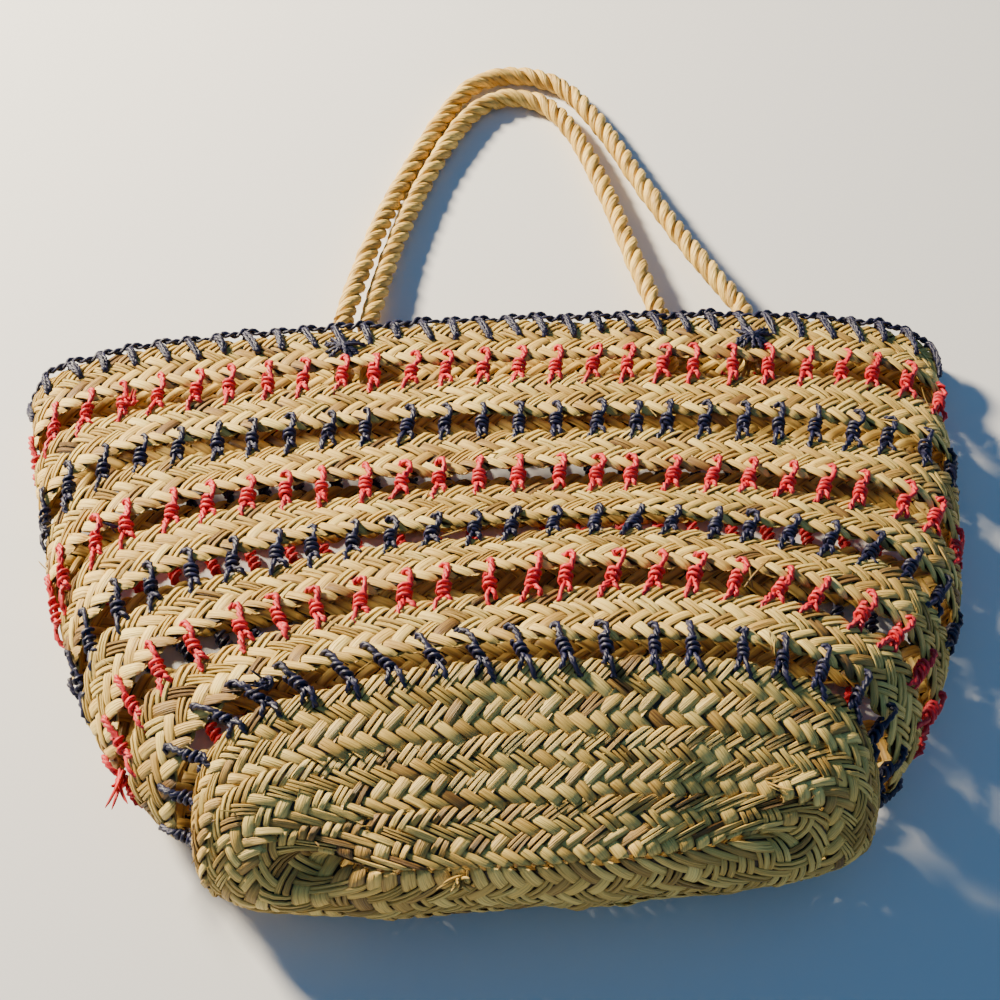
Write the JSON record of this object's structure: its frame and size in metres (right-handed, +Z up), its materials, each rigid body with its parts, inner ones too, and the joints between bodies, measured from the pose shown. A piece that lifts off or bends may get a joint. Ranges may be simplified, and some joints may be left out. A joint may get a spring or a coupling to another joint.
{
  "type": "beach bag",
  "caption": "Soft plaited palm-leaf market bag lying on its back, open rounds joined by coloured stitches, closed oval base, stitched mouth edge and rope handles that swing.",
  "frame": {"origin": "middle of the bag's footprint, handles included, on the surface that it lies on", "axes": "+X across the mouth, +Y from the base towards the mouth and the handles, +Z up, out of the front wall"},
  "size_m": [0.5187, 0.5917, 0.0919],
  "materials": {
    "palm_braid": "dry satin leaf",
    "palm_rope": "twisted dry leaf",
    "red_thread": "waxed twisted thread",
    "navy_thread": "waxed twisted thread"
  },
  "bodies": {
    "bag": {"plait_round_1": "palm_braid", "plait_round_2": "palm_braid", "plait_round_3": "palm_braid", "plait_round_4": "palm_braid", "plait_round_5": "palm_braid", "plait_round_6": "palm_braid", "base_round_1": "palm_braid", "base_round_2": "palm_braid", "base_round_3": "palm_braid", "stitch_row_1_red": "red_thread", "stitch_row_2_navy": "navy_thread", "stitch_row_3_red": "red_thread", "stitch_row_4_navy": "navy_thread", "stitch_row_5_red": "red_thread", "stitch_row_6_navy": "navy_thread", "edging_cord": "navy_thread", "edging_bars": "navy_thread", "lashing_front_left": "navy_thread", "lashing_front_right": "navy_thread", "lashing_back_left": "navy_thread", "lashing_back_right": "navy_thread", "front_rope_tail_left": "palm_rope", "front_rope_tail_right": "palm_rope", "back_rope_tail_left": "palm_rope", "back_rope_tail_right": "palm_rope"},
    "front_handle": {"front_handle_rope": "palm_rope"},
    "back_handle": {"back_handle_rope": "palm_rope"}
  },
  "joints": [
    {"name": "front_handle_swing", "type": "hinge", "parent": "bag", "child": "front_handle", "pos_m": [-0.084, 0.068, 0.0172], "axis": [1, 0, -0.0047], "range_deg": [0, 100]},
    {"name": "back_handle_swing", "type": "hinge", "parent": "bag", "child": "back_handle", "pos_m": [-0.07, 0.068, 0.0116], "axis": [1, 0, 0], "range_deg": [0, 100]}
  ]
}
